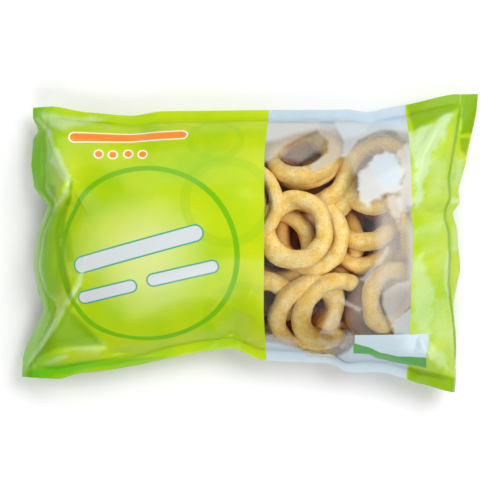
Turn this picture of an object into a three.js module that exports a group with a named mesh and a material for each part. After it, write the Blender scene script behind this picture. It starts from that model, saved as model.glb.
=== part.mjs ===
// A sealed pillow bag of frozen crumbed onion rings, lying on its back with the printed front up.
// Millimetres, +Z up. X runs along the bag from one end seal to the other, Y across it from its
// lower to its upper long edge, as the front is read. The origin is the middle of the footprint,
// on the surface that the bag lies on.
import * as THREE from 'three';

// The flat bag: two layers of film, folded along both long edges and sealed across both ends
const corners = {
  upperLeft: [-180, 112.5],
  lowerLeft: [-190, -112],
  upperRight: [190, 124],
  lowerRight: [171, -124],
};
const bagLength = corners.upperRight[0] - corners.lowerLeft[0];
const sealWidth = 15; // heat-sealed fin across each end
const lipWidth = 9; // flat lip of empty film along each long edge
const sealThickness = 1.6; // both layers together, as a solid fin

// The filled bag
const sealHeight = 29; // where the fins leave the bag, above the surface
const fillHeight = 75; // over the fullest part, before the swells over single rings
const shoulder = { along: 105, across: 98, roundness: 0.62 }; // how far in the filling is full height
const belly = { along: 62, across: 46, roundness: 0.72 }; // the underside reaches the surface sooner
const bellyPress = 1.12; // how far past the surface the underside would bulge, as a share of its depth
const endReach = 75; // how far into the bag the pull of a drawn-in end reaches

// Each fin stands highest where its end is drawn in most
const finRise = 0.5; // height gained for each millimetre drawn in
const finLevelAt = 8; // how far an end is drawn in where its fin is at the seal height
const finReach = 45; // how far into the bag this height reaches

// The grid that the film is drawn on
const columns = 76;
const rows = 36;
const edgeCrowding = 0.35; // how much finer it is near the edges, as a share

// How far filling the bag has drawn each edge in from the straight line between its corners:
// where along the edge, and how deep. Each short dip is a pucker in the film.
const drawnIn = {
  upper: [
    [-162, 0], [-128, 6], [-90, 10], [-66, 7], [0, 8.2],
    [84, 10.2], [101, 13], [126, 8.5], [170, 0],
  ],
  lower: [
    [-158, 0.5], [-140, 6], [-23, 30.5], [2, 21], [54, 20.5],
    [68, 13.5], [94, 14.5], [130, 6], [160, 0],
  ],
  left: [
    [-96, 0], [-54, 17], [-38, 10], [-20, 6], [6, 8], [31, 16],
    [47, 3.5], [65, 0.5], [86, 1], [94, 5], [105, 0],
  ],
  right: [
    [-113, 0], [-92, 2.5], [-48, 6.5], [-22, 3.5], [8, 8], [25, 13.5],
    [34, 8], [44, 10], [70, 5], [112, 0],
  ],
};

// How far each fin hangs down out of level, in degrees, along its end from lower to upper corner
const finCurl = {
  left: [[-112, 35], [-54, 50], [-16, 66], [31, 60], [66, 34], [94, 52], [112, 30]],
  right: [[-124, 72], [-60, 74], [-20, 52], [25, 58], [60, 48], [124, 8]],
};

// Folds that stand up from the film: points along the fold, its height, and how far it falls away on
// its left and right, seen from its first point. A negative height is a valley.
const crestRadius = 2.5;
const foldTaper = { first: 0.14, last: 0.93 }; // the share of a half wave that a fold's height follows
const reliefStart = 0.25; // how full the bag is where folds and swells reach their whole height
const folds = [
  { path: [[-181, 108], [-169, 93], [-158, 70], [-148, 52]], height: 12, left: 13, right: 7 },
  { path: [[-148, 54], [-153, 41], [-163, 29]], height: 11, left: 7, right: 10 },
  { path: [[-187, -106], [-172, -85], [-160, -70], [-147, -47], [-138, -26]], height: 13, left: 15, right: 8 },
  { path: [[-171, -53], [-158, -50], [-146, -42]], height: -5, left: 9, right: 9 },
  { path: [[-172, 92], [-168, 66], [-157, 44]], height: -6, left: 9, right: 6 },
  { path: [[-134, -76], [-112, -88], [-86, -92]], height: -6, left: 16, right: 12 },
  { path: [[172, 112], [156, 96], [141, 70], [138, 45]], height: 6, left: 12, right: 9 },
  { path: [[169, 25], [150, 24], [132, 30]], height: -6, left: 10, right: 14 },
  { path: [[169, -112], [152, -98], [138, -74]], height: 5, left: 8, right: 13 },
  { path: [[-23, -84], [-14, -74], [-6, -56]], height: -8, left: 12, right: 16 },
  { path: [[-88, 108], [-88, 96], [-84, 84]], height: -5, left: 9, right: 12 },
  { path: [[101, 110], [99, 99], [92, 86]], height: -5, left: 9, right: 9 },
];

// Shallow swells where pieces of the filling push the film up, with the rings' own width
const swells = [
  { at: [-95, 40], height: 3 },
  { at: [-60, -35], height: 3.5 },
  { at: [-118, -20], height: 2.5 },
  { at: [-20, 48], height: 3.5 },
  { at: [-8, -12], height: 3 },
  { at: [42, 6], height: 4 },
  { at: [45, 72], height: 3.5 },
  { at: [62, -58], height: 4 },
  { at: [108, -45], height: 3 },
  { at: [100, 52], height: 3.5 },
];
const swellReach = 26;

const lerp = THREE.MathUtils.lerp;
const smoothstep = THREE.MathUtils.smoothstep;

const bell = (distance, reach) => Math.exp(-((distance / reach) ** 2));

// A curve through stations of [where, value], level past both ends, and halfway between straight
// lines and waves that are level at each station
function along(stations, at) {
  const next = stations.findIndex(([where]) => where > at);
  if (next === 0) return stations[0][1];
  if (next < 0) return stations.at(-1)[1];
  const [x0, y0] = stations[next - 1];
  const [x1, y1] = stations[next];
  return lerp(y0, y1, lerp((at - x0) / (x1 - x0), smoothstep(at, x0, x1), 0.5));
}

// The outline's y along its upper or lower edge, at a share of the way from left to right
function edgeY(side, share) {
  const [x0, y0] = corners[`${side}Left`];
  const [x1, y1] = corners[`${side}Right`];
  const inward = side === 'upper' ? -1 : 1;
  return lerp(y0, y1, share) + inward * along(drawnIn[side], lerp(x0, x1, share));
}

// One end of the bag at a share of the way up it: how far its cut edge is drawn in from the bag's
// full length, and the angle that its fin hangs at
function endAt(side, share) {
  const capital = side === 'left' ? 'Left' : 'Right';
  const [x0, y0] = corners[`lower${capital}`];
  const [x1, y1] = corners[`upper${capital}`];
  const y = lerp(y0, y1, share);
  const slant = Math.abs(lerp(x0, x1, share) - (side === 'left' ? x0 : x1));
  const curl = THREE.MathUtils.degToRad(along(finCurl[side], y));
  return { inset: slant + along(drawnIn[side], y), curl };
}

// How far a point of the film, so far in from the cut end, is pulled towards the bag's middle
function pull(end, fromEnd) {
  const shortening = 1 - Math.cos(end.curl);
  if (fromEnd < sealWidth) return end.inset - fromEnd * shortening;
  return (end.inset - sealWidth * shortening) * (1 - smoothstep(fromEnd, sealWidth, endReach));
}

// Where a point of the flat film lies, seen from above. s runs along the bag and t across it, 0 to 1.
function plan(s, t) {
  const x = corners.lowerLeft[0] + s * bagLength
    + pull(endAt('left', t), s * bagLength) - pull(endAt('right', t), (1 - s) * bagLength);
  return [x, lerp(edgeY('lower', s), edgeY('upper', s), t)];
}

// How far in from an edge the film has risen: 0 at the edge and 1 past the reach
function rise(distance, reach, roundness) {
  const share = THREE.MathUtils.clamp(distance / reach, 0, 1);
  return (1 - (1 - share) ** 2) ** roundness;
}

// How full the bag is at a place, from 0 at its edges to 1 over its body
function fullness(s, y, shape) {
  const fromLeft = s * bagLength - sealWidth;
  const fromRight = (1 - s) * bagLength - sealWidth;
  const fromUpper = edgeY('upper', s) - lipWidth - y;
  const fromLower = y - edgeY('lower', s) - lipWidth;
  return (
    rise(fromLeft, shape.along, shape.roundness) *
    rise(fromRight, shape.along, shape.roundness) *
    rise(fromUpper, shape.across, shape.roundness) *
    rise(fromLower, shape.across, shape.roundness)
  );
}

// The height that one fold adds at a point: a narrow crest that falls away on both sides
function foldHeight(fold, x, y) {
  let best = { distance: Infinity, side: 1, share: 0 };
  const pieces = fold.path.length - 1;
  for (let i = 0; i < pieces; i++) {
    const [ax, ay] = fold.path[i];
    const [bx, by] = fold.path[i + 1];
    const dx = bx - ax;
    const dy = by - ay;
    const share = THREE.MathUtils.clamp(((x - ax) * dx + (y - ay) * dy) / (dx * dx + dy * dy), 0, 1);
    const distance = Math.hypot(x - ax - share * dx, y - ay - share * dy);
    if (distance < best.distance) {
      best = { distance, side: Math.sign(dx * (y - ay) - dy * (x - ax)), share: (i + share) / pieces };
    }
  }
  const reach = best.side > 0 ? fold.left : fold.right;
  const taper = Math.sin(Math.PI * lerp(foldTaper.first, foldTaper.last, best.share));
  const fromCrest = Math.hypot(best.distance, crestRadius) - crestRadius;
  return fold.height * taper * Math.exp(-fromCrest / reach);
}

const swellHeight = (x, y) =>
  swells.reduce((sum, s) => sum + s.height * bell(Math.hypot(x - s.at[0], y - s.at[1]), swellReach), 0);

// The middle of the two layers where they lie together, and which way their thickness faces.
// A fin hangs down by its curl.
function seamAt(s, t) {
  const side = s < 0.5 ? 'left' : 'right';
  const end = endAt(side, t);
  const fromEnd = Math.min(s, 1 - s) * bagLength;
  const near = 1 - smoothstep(fromEnd, 0, finReach);
  const onFin = Math.max(0, sealWidth - fromEnd);
  const z = sealHeight + near * finRise * (end.inset - finLevelAt) - onFin * Math.sin(end.curl);
  const tilt = onFin > 0 ? end.curl : 0;
  return { z, lean: [(side === 'left' ? -1 : 1) * Math.sin(tilt), Math.cos(tilt)] };
}

// A point of the front film and of the back film, at one place
function layersAt(s, t) {
  const [x, y] = plan(s, t);
  const seam = seamAt(s, t);
  const front = fullness(s, y, shoulder);
  const back = Math.min(1, bellyPress * fullness(s, y, belly));
  const relief = folds.reduce((sum, fold) => sum + foldHeight(fold, x, y), swellHeight(x, y) * front);
  const top = lerp(seam.z, fillHeight, front) + smoothstep(front, 0, reliefStart) * relief;
  const bottom = seam.z * (1 - back);
  const half = sealThickness / 2;
  const [leanX, leanZ] = seam.lean;
  return {
    front: [x + leanX * half, y, Math.max(top, bottom) + leanZ * half],
    back: [x - leanX * half, y, Math.max(bottom - leanZ * half, 0)],
  };
}

// One closed skin: the front grid, the back grid and the rim that joins them
function bagGeometry() {
  const spread = (i, count) => {
    const share = i / count;
    return share - edgeCrowding * Math.sin(2 * Math.PI * share) / (2 * Math.PI);
  };
  const positions = [];
  for (const layer of ['front', 'back']) {
    for (let j = 0; j <= rows; j++) {
      for (let i = 0; i <= columns; i++) {
        positions.push(...layersAt(spread(i, columns), spread(j, rows))[layer]);
      }
    }
  }
  const stride = columns + 1;
  const backStart = stride * (rows + 1);
  const indices = [];
  const quad = (a, b, c, d) => indices.push(a, b, c, a, c, d);
  for (let j = 0; j < rows; j++) {
    for (let i = 0; i < columns; i++) {
      const a = j * stride + i;
      quad(a, a + 1, a + 1 + stride, a + stride);
      quad(backStart + a, backStart + a + stride, backStart + a + 1 + stride, backStart + a + 1);
    }
  }
  const rim = [];
  for (let i = 0; i < columns; i++) rim.push(i);
  for (let j = 0; j < rows; j++) rim.push(j * stride + columns);
  for (let i = columns; i > 0; i--) rim.push(rows * stride + i);
  for (let j = rows; j > 0; j--) rim.push(j * stride);
  rim.forEach((here, k) => {
    const next = rim[(k + 1) % rim.length];
    quad(here, backStart + here, backStart + next, next);
  });
  const geometry = new THREE.BufferGeometry();
  geometry.setAttribute('position', new THREE.Float32BufferAttribute(positions, 3));
  geometry.setIndex(indices);
  geometry.computeBoundingBox();
  const { min, max } = geometry.boundingBox;
  geometry.translate(-(min.x + max.x) / 2, -(min.y + max.y) / 2, -min.z);
  return geometry;
}

const film = new THREE.MeshStandardMaterial({ color: 0xa6cf1f, roughness: 0.3, metalness: 0 });

const group = new THREE.Group();
const bag = new THREE.Mesh(bagGeometry(), film);
bag.name = 'bag';
group.add(bag);

export default group;
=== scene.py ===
# A sealed pillow bag of frozen crumbed onion rings, lying on its back.
# The film follows the same shape rules as the solid, drawn finer. Sizes are in millimetres here
# and become metres where a mesh is made.
import math
import bpy
import numpy as np
from mathutils import Matrix, Vector


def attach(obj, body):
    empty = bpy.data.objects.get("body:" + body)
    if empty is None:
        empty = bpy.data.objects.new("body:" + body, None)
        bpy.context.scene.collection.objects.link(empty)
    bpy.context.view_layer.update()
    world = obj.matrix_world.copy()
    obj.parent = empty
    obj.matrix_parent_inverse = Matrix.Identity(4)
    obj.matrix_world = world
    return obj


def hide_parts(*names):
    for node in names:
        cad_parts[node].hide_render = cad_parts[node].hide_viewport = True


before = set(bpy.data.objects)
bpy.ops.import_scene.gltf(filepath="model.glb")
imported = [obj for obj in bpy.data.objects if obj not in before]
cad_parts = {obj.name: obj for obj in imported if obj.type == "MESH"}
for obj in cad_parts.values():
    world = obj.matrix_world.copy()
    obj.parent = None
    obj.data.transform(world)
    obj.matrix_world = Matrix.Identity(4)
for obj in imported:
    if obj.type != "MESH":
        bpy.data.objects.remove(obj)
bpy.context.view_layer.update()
mm = 0.001
body = "root"


# Helpers that every piece shares

def linear(hexColour):
    channels = [int(hexColour[i:i + 2], 16) / 255 for i in (1, 3, 5)]
    return [c / 12.92 if c <= 0.04045 else ((c + 0.055) / 1.055) ** 2.4 for c in channels] + [1.0]


def addNode(tree, kind, inputs=None, **settings):
    node = tree.nodes.new("ShaderNode" + kind)
    for name, value in settings.items():
        setattr(node, name, value)
    for name, value in (inputs or {}).items():
        if isinstance(value, bpy.types.NodeSocket):
            tree.links.new(value, node.inputs[name])
        else:
            node.inputs[name].default_value = value
    return node


def newMaterial(name):
    material = bpy.data.materials.new(name)
    material.use_nodes = True
    material.node_tree.nodes.clear()
    return material, material.node_tree


def smoothStep(value, low, high):
    share = np.clip((value - low) / (high - low), 0, 1)
    return share * share * (3 - 2 * share)


def latticeNoise(x, y, cell, seed):  # smooth noise from -1 to 1, one random value every cell mm
    values = np.random.default_rng(seed).uniform(-1, 1, (64, 64))
    column, row = x / cell + 1000, y / cell + 1000
    i, j = np.floor(column).astype(int), np.floor(row).astype(int)
    a, b = smoothStep(column - i, 0, 1), smoothStep(row - j, 0, 1)
    pick = lambda di, dj: values[(i + di) % 64, (j + dj) % 64]
    return (pick(0, 0) * (1 - a) + pick(1, 0) * a) * (1 - b) + (pick(0, 1) * (1 - a) + pick(1, 1) * a) * b


def facetNoise(x, y, cell, seed):  # flat facets with sharp edges between them, from -1 to 1
    rng = np.random.default_rng(seed)
    values, diagonals = rng.uniform(-1, 1, (64, 64)), rng.random((64, 64)) < 0.5
    x, y = (x + 0.4 * cell * latticeNoise(x, y, 1.8 * cell, seed + 1),
            y + 0.4 * cell * latticeNoise(x, y, 1.8 * cell, seed + 2))
    i, j = np.floor(x / cell).astype(int), np.floor(y / cell).astype(int)
    a, b = x / cell - i, y / cell - j
    flip = diagonals[i % 64, j % 64]
    pick = lambda di, dj: values[(i + di) % 64, (j + dj) % 64]
    near, far = np.where(flip, pick(1, 0), pick(0, 0)), np.where(flip, pick(0, 1), pick(1, 1))
    low, high = np.where(flip, pick(0, 0), pick(1, 0)), np.where(flip, pick(1, 1), pick(0, 1))
    a = np.where(flip, 1 - a, a)
    return np.where(a + b < 1, near + (low - near) * a + (high - near) * b,
                    far + (high - far) * (1 - a) + (low - far) * (1 - b))


def makePiece(name, points, faces, material, uvs=None, values=None):
    mesh = bpy.data.meshes.new(name)
    mesh.from_pydata((np.asarray(points) * mm).tolist(), [], faces)
    mesh.shade_smooth()
    if uvs is not None:
        layer = mesh.uv_layers.new(name="flatFilm")
        corners = np.empty(len(mesh.loops), int)
        mesh.loops.foreach_get("vertex_index", corners)
        layer.data.foreach_set("uv", np.asarray(uvs)[corners].ravel())
    for key, value in (values or {}).items():  # one number a point, for its material to read
        mesh.attributes.new(key, "FLOAT", "POINT").data.foreach_set("value", np.ravel(value))
    mesh.materials.append(material)
    piece = bpy.data.objects.new(name, mesh)
    bpy.context.scene.collection.objects.link(piece)
    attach(piece, body)
    return piece


# The bag's shape, by the same rules and sizes as the solid

bag = {
    "lowerLeft": (-190, -112), "upperLeft": (-180, 112.5),
    "lowerRight": (171, -124), "upperRight": (190, 124),
    "sealWidth": 15,
    "lipWidth": 9,
    "halfSeal": 0.25,      # half the thickness at a seal, less than the solid's, as film is thin
    "sealHeight": 29,
    "fillHeight": 75,
    "endReach": 75,
    "finRise": 0.5, "finLevelAt": 8, "finReach": 45,
    "bellyPress": 1.12,
    "crestRadius": 1.2,
    "foldTaper": (0.14, 0.93),  # the part of a half wave that a fold's height follows along its crest
    "reliefStart": 0.25,
    "swellReach": 26,
    "width": 240,          # about, from lip to lip
    "rimReach": 2,         # over which the film opens out from its rim
}
bagLength = bag["upperRight"][0] - bag["lowerLeft"][0]
shoulder = {"along": 105, "across": 98, "roundness": 0.62}
belly = {"along": 62, "across": 46, "roundness": 0.72}

drawnIn = {
    "upper": [(-162, 0), (-128, 6), (-90, 10), (-66, 7), (0, 8.2),
              (84, 10.2), (101, 13), (126, 8.5), (170, 0)],
    "lower": [(-158, 0.5), (-140, 6), (-23, 30.5), (2, 21), (54, 20.5),
              (68, 13.5), (94, 14.5), (130, 6), (160, 0)],
    "Left": [(-96, 0), (-54, 17), (-38, 10), (-20, 6), (6, 8), (31, 16),
             (47, 3.5), (65, 0.5), (86, 1), (94, 5), (105, 0)],
    "Right": [(-113, 0), (-92, 2.5), (-48, 6.5), (-22, 3.5), (8, 8), (25, 13.5),
              (34, 8), (44, 10), (70, 5), (112, 0)],
}
finCurl = {
    "Left": [(-112, 35), (-54, 50), (-16, 66), (31, 60), (66, 34), (94, 52), (112, 30)],
    "Right": [(-124, 72), (-60, 74), (-20, 52), (25, 58), (60, 48), (124, 8)],
}
folds = [  # points along the crest, its height, and how far it falls away on its left and right
    ([(-181, 108), (-169, 93), (-158, 70), (-148, 52)], 12, 13, 7),
    ([(-148, 54), (-153, 41), (-163, 29)], 11, 7, 10),
    ([(-187, -106), (-172, -85), (-160, -70), (-147, -47), (-138, -26)], 13, 15, 8),
    ([(-171, -53), (-158, -50), (-146, -42)], -5, 9, 9),
    ([(-172, 92), (-168, 66), (-157, 44)], -6, 9, 6),
    ([(-134, -76), (-112, -88), (-86, -92)], -6, 16, 12),
    ([(172, 112), (156, 96), (141, 70), (138, 45)], 6, 12, 9),
    ([(169, 25), (150, 24), (132, 30)], -6, 10, 14),
    ([(169, -112), (152, -98), (138, -74)], 5, 8, 13),
    ([(-23, -84), (-14, -74), (-6, -56)], -8, 12, 16),
    ([(-88, 108), (-88, 96), (-84, 84)], -5, 9, 12),
    ([(101, 110), (99, 99), (92, 86)], -5, 9, 9),
]
swells = [  # where single rings push the film up, and by how much
    (-95, 40, 3), (-60, -35, 3.5), (-118, -20, 2.5), (-20, 48, 3.5), (-8, -12, 3),
    (42, 6, 4), (45, 72, 3.5), (62, -58, 4), (108, -45, 3), (100, 52, 3.5),
]


def along(stations, at):
    where, value = np.array(stations, float).T
    at = np.clip(at, where[0], where[-1])
    i = np.clip(np.searchsorted(where, at, side="right") - 1, 0, len(where) - 2)
    share = (at - where[i]) / (where[i + 1] - where[i])
    return value[i] + (value[i + 1] - value[i]) * 0.5 * (share + smoothStep(share, 0, 1))


def mix(low, high, share):
    return low + (high - low) * share


def edgeY(side, share):
    (x0, y0), (x1, y1) = bag[side + "Left"], bag[side + "Right"]
    inward = -1 if side == "upper" else 1
    return mix(y0, y1, share) + inward * along(drawnIn[side], mix(x0, x1, share))


def endAt(side, share):
    (x0, y0), (x1, y1) = bag["lower" + side], bag["upper" + side]
    y = mix(y0, y1, share)
    slant = np.abs(mix(x0, x1, share) - (x0 if side == "Left" else x1))
    return slant + along(drawnIn[side], y), np.radians(along(finCurl[side], y))


def pull(inset, curl, fromEnd):
    shortening = 1 - np.cos(curl)
    onFin = inset - fromEnd * shortening
    fading = 1 - smoothStep(fromEnd, bag["sealWidth"], bag["endReach"])
    past = (inset - bag["sealWidth"] * shortening) * fading
    return np.where(fromEnd < bag["sealWidth"], onFin, past)


def plan(s, t):
    x = bag["lowerLeft"][0] + s * bagLength
    x = x + pull(*endAt("Left", t), s * bagLength) - pull(*endAt("Right", t), (1 - s) * bagLength)
    return x, mix(edgeY("lower", s), edgeY("upper", s), t)


def fullness(s, y, shape):
    def rise(distance, reach):
        return (1 - (1 - np.clip(distance / reach, 0, 1)) ** 2) ** shape["roundness"]
    return (rise(s * bagLength - bag["sealWidth"], shape["along"])
            * rise((1 - s) * bagLength - bag["sealWidth"], shape["along"])
            * rise(edgeY("upper", s) - bag["lipWidth"] - y, shape["across"])
            * rise(y - edgeY("lower", s) - bag["lipWidth"], shape["across"]))


def nearPath(path, x, y):  # distance to a path, the side of it, and the share of the way along it
    best, side, place = np.full(x.shape, 1e9), np.ones(x.shape), np.zeros(x.shape)
    for i, ((ax, ay), (bx, by)) in enumerate(zip(path, path[1:])):
        dx, dy = bx - ax, by - ay
        share = np.clip(((x - ax) * dx + (y - ay) * dy) / (dx * dx + dy * dy), 0, 1)
        distance = np.hypot(x - ax - share * dx, y - ay - share * dy)
        nearer = distance < best
        side = np.where(nearer, np.sign(dx * (y - ay) - dy * (x - ax)), side)
        place = np.where(nearer, (i + share) / (len(path) - 1), place)
        best = np.minimum(best, distance)
    return best, side, place


def foldHeight(fold, x, y):
    path, height, left, right = fold
    distance, side, place = nearPath(path, x, y)
    taper = np.sin(math.pi * mix(*bag["foldTaper"], place))
    fromCrest = np.hypot(distance, bag["crestRadius"]) - bag["crestRadius"]
    return height * taper * np.exp(-fromCrest / np.where(side > 0, left, right))


def layersAt(s, t, detail=1.0):  # points of the front and back film, and the room between them
    x, y = plan(s, t)
    leftInset, leftCurl = endAt("Left", t)
    rightInset, rightCurl = endAt("Right", t)
    onLeft = s < 0.5
    inset, curl = np.where(onLeft, leftInset, rightInset), np.where(onLeft, leftCurl, rightCurl)
    fromEnd = np.minimum(s, 1 - s) * bagLength
    near = 1 - smoothStep(fromEnd, 0, bag["finReach"])
    onFin = np.maximum(0, bag["sealWidth"] - fromEnd)
    seam = (bag["sealHeight"] + near * bag["finRise"] * (inset - bag["finLevelAt"])
            - onFin * np.sin(curl))
    tilt = np.where(onFin > 0, curl, 0)
    leanX, leanZ = np.where(onLeft, -1, 1) * np.sin(tilt), np.cos(tilt)
    front = fullness(s, y, shoulder)
    back = np.minimum(1, bag["bellyPress"] * fullness(s, y, belly))
    relief = sum(foldHeight(fold, x, y) for fold in folds)
    for swellX, swellY, height in swells:
        fromSwell = np.hypot(x - swellX, y - swellY) / bag["swellReach"]
        relief = relief + front * height * np.exp(-fromSwell ** 2)
    top = mix(seam, bag["fillHeight"], front) + smoothStep(front, 0, bag["reliefStart"]) * relief * detail
    bottom = seam * (1 - back)
    top = np.maximum(top, bottom)
    fromRim = np.minimum(fromEnd, np.minimum(t, 1 - t) * bag["width"])
    half = bag["halfSeal"] * smoothStep(fromRim, 0, bag["rimReach"])
    frontPoints = np.stack([x + leanX * half, y, top + leanZ * half], -1)
    backPoints = np.stack([x - leanX * half, y, np.maximum(bottom - leanZ * half, 0)], -1)
    return frontPoints, backPoints, top - bottom


# The film as a fine grid, with a column on each edge of the window

film = {
    # the clear window's edges: share of the way across the film, and place along the bag
    "windowLeft": [(0, 14), (0.2, 11.5), (0.8, 12), (1, 16)],
    "windowRight": [(0, 131.5), (0.25, 132.5), (0.55, 134.5), (0.8, 131.5), (1, 128.8)],
    "step": 1.25,          # spacing of the grid
    "flatWidth": 244,      # the film's width between its folds
}


def filmShares():  # shares along and across for each point of the grid, and the window's two columns
    t = np.linspace(0, 1, round(film["flatWidth"] / film["step"]) + 1)[:, None]
    stops = [bag["lowerLeft"][0], along(film["windowLeft"], t), along(film["windowRight"], t),
             bag["upperRight"][0]]
    counts = [round(float(np.mean(high - low)) / film["step"]) for low, high in zip(stops, stops[1:])]
    parts = [mix(low, high, np.arange(count) / count) + 0 * t
             for low, high, count in zip(stops, stops[1:], counts)]
    x = np.concatenate(parts + [stops[3] + 0 * t], 1)
    return (x - stops[0]) / bagLength, t + 0 * x, (counts[0], counts[0] + counts[1])


sGrid, tGrid, windowColumns = filmShares()
planPoints = layersAt(sGrid, tGrid)[0][..., :2]
middle = (planPoints.max((0, 1)) + planPoints.min((0, 1))) / 2
print("film grid", sGrid.shape)


def sharesAt(x, y):  # the film's own shares at a place seen from above
    x, y = np.asarray(x, float) + middle[0], np.asarray(y, float) + middle[1]
    s = (x - bag["lowerLeft"][0]) / bagLength
    for _ in range(6):
        low, high = edgeY("lower", s), edgeY("upper", s)
        t = np.clip((y - low) / (high - low), 0, 1)
        s = np.clip(s + (x - plan(s, t)[0]) / bagLength, 0, 1)
    return s, t


def filmHeight(x, y):
    return layersAt(*sharesAt(x, y))[0][..., 2]


def sample(grid, column, row):  # a grid's values between its points
    column = np.clip(column, 0, grid.shape[1] - 1.001)
    row = np.clip(row, 0, grid.shape[0] - 1.001)
    i, j = np.floor(column).astype(int), np.floor(row).astype(int)
    a, b = (column - i)[..., None], (row - j)[..., None]
    return ((grid[j, i] * (1 - a) + grid[j, i + 1] * a) * (1 - b)
            + (grid[j + 1, i] * (1 - a) + grid[j + 1, i + 1] * a) * b)


# Creases where the film has slack: at the ends, in the corners and along the lips. Each field of
# facets has a middle, how far it spreads, the direction of its facets, their width and length, its
# height, and how pale the facets look, as milky film and as painted highlight.
creases = {
    "leftEnd": ((-166, -4), (17, 100), 82, (9, 34), 2.0, 0.15),
    "lowerLeft": ((-120, -90), (42, 14), 14, (7, 24), 2.3, 0.08),
    "upperLeft": ((-140, 96), (44, 12), -8, (8, 26), 1.3, 0.08),
    "notch": ((-14, -78), (20, 12), 55, (6, 18), 1.8, 0.0),
    "rightBand": ((155, -10), (19, 110), 68, (7, 26), 2.2, 0.3),
    "rightCrinkles": ((148, 10), (16, 32), 22, (4, 15), 1.1, 0.4),
    "upperRight": ((158, 86), (24, 26), 48, (7, 34), 2.4, 0.05),
    "lowerRight": ((156, -88), (20, 26), -52, (7, 26), 1.8, 0.15),
    "windowGlare": ((122, 46), (17, 26), 30, (6, 12), 0.6, 0.0),
    "upperLip": ((30, 104), (150, 9), 90, (9, 20), 1.0, 0.0),
    "lowerLip": ((90, -96), (60, 10), 80, (9, 18), 1.4, 0.1),
    "body": ((0, 0), (400, 400), 35, (26, 60), 0.5, 0.0),
}
creaseSeed = 40
sealLine = {"depth": 1.0, "width": 2.2}
creaseFade = {"fromRim": (-4, 8), "toBack": 8}  # to nothing at the rim, and on the back film


def creaseFields(x, y):  # height of the creases, and how pale they are, as milky film and painted highlight
    height, milkAndSheen = np.zeros(x.shape), np.zeros(x.shape)
    for number, (middleAt, reach, turn, (wide, long), high, milk) in enumerate(creases.values()):
        dx, dy = x - middleAt[0], y - middleAt[1]
        c, s = math.cos(math.radians(turn)), math.sin(math.radians(turn))
        alongFacet, acrossFacet = (c * dx + s * dy) * wide / long, c * dy - s * dx
        facets = 0.5 + 0.5 * facetNoise(alongFacet, acrossFacet, wide, creaseSeed + 3 * number)
        share = np.exp(-((dx / reach[0]) ** 4 + (dy / reach[1]) ** 4))
        height += high * share * facets
        milkAndSheen += milk * share * facets ** 2
    return height, milkAndSheen


def normalsOf(grid):
    normal = np.cross(np.gradient(grid, axis=1), np.gradient(grid, axis=0))
    return normal / np.maximum(np.linalg.norm(normal, axis=2, keepdims=True), 1e-9)


def creasedFilm(s, t):
    front, back, gap = layersAt(s, t)
    for layer in (front, back):
        layer[..., :2] -= middle
    fromEnd = np.minimum(s, 1 - s) * bagLength
    fromRim = np.minimum(fromEnd, np.minimum(t, 1 - t) * film["flatWidth"])
    height = creaseFields(front[..., 0], front[..., 1])[0] * smoothStep(fromRim, *creaseFade["fromRim"])
    height -= sealLine["depth"] * np.exp(-((fromEnd - bag["sealWidth"]) / sealLine["width"]) ** 2)
    lift = normalsOf(front) * height[..., None]
    front += lift
    back += lift * (1 - smoothStep(gap, 0, creaseFade["toBack"])[..., None])
    back[..., 2] = np.maximum(back[..., 2], 0)
    return front, back


frontGrid, backGrid = creasedFilm(sGrid, tGrid)


tableStep = 2.0            # mm between the heights in the tables below
tableX, tableY = np.arange(-196, 197, tableStep), np.arange(-130, 131, tableStep)
tableShares = sharesAt(*np.meshgrid(tableX, tableY))


def inTable(table, x, y):
    return sample(table, (x - tableX[0]) / tableStep, (y - tableY[0]) / tableStep)


def flatCoordinates():  # how far each point lies along and across the film, measured over its smooth shape
    height = layersAt(*tableShares, 0.0)[0][..., 2]
    steps = [np.hypot(tableStep, np.gradient(height, axis=axis)) for axis in (1, 0)]
    lengths = [np.cumsum(step, axis=axis) for step, axis in zip(steps, (1, 0))]
    lengths[0] -= lengths[0][:, [len(tableX) // 2]]
    lengths[1] -= lengths[1][[len(tableY) // 2], :]
    return inTable(np.stack(lengths, -1), frontGrid[..., 0], frontGrid[..., 1])


flatGrid = flatCoordinates()
frontTable, backTable = (layer[..., 2:] for layer in layersAt(*tableShares)[:2])


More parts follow.
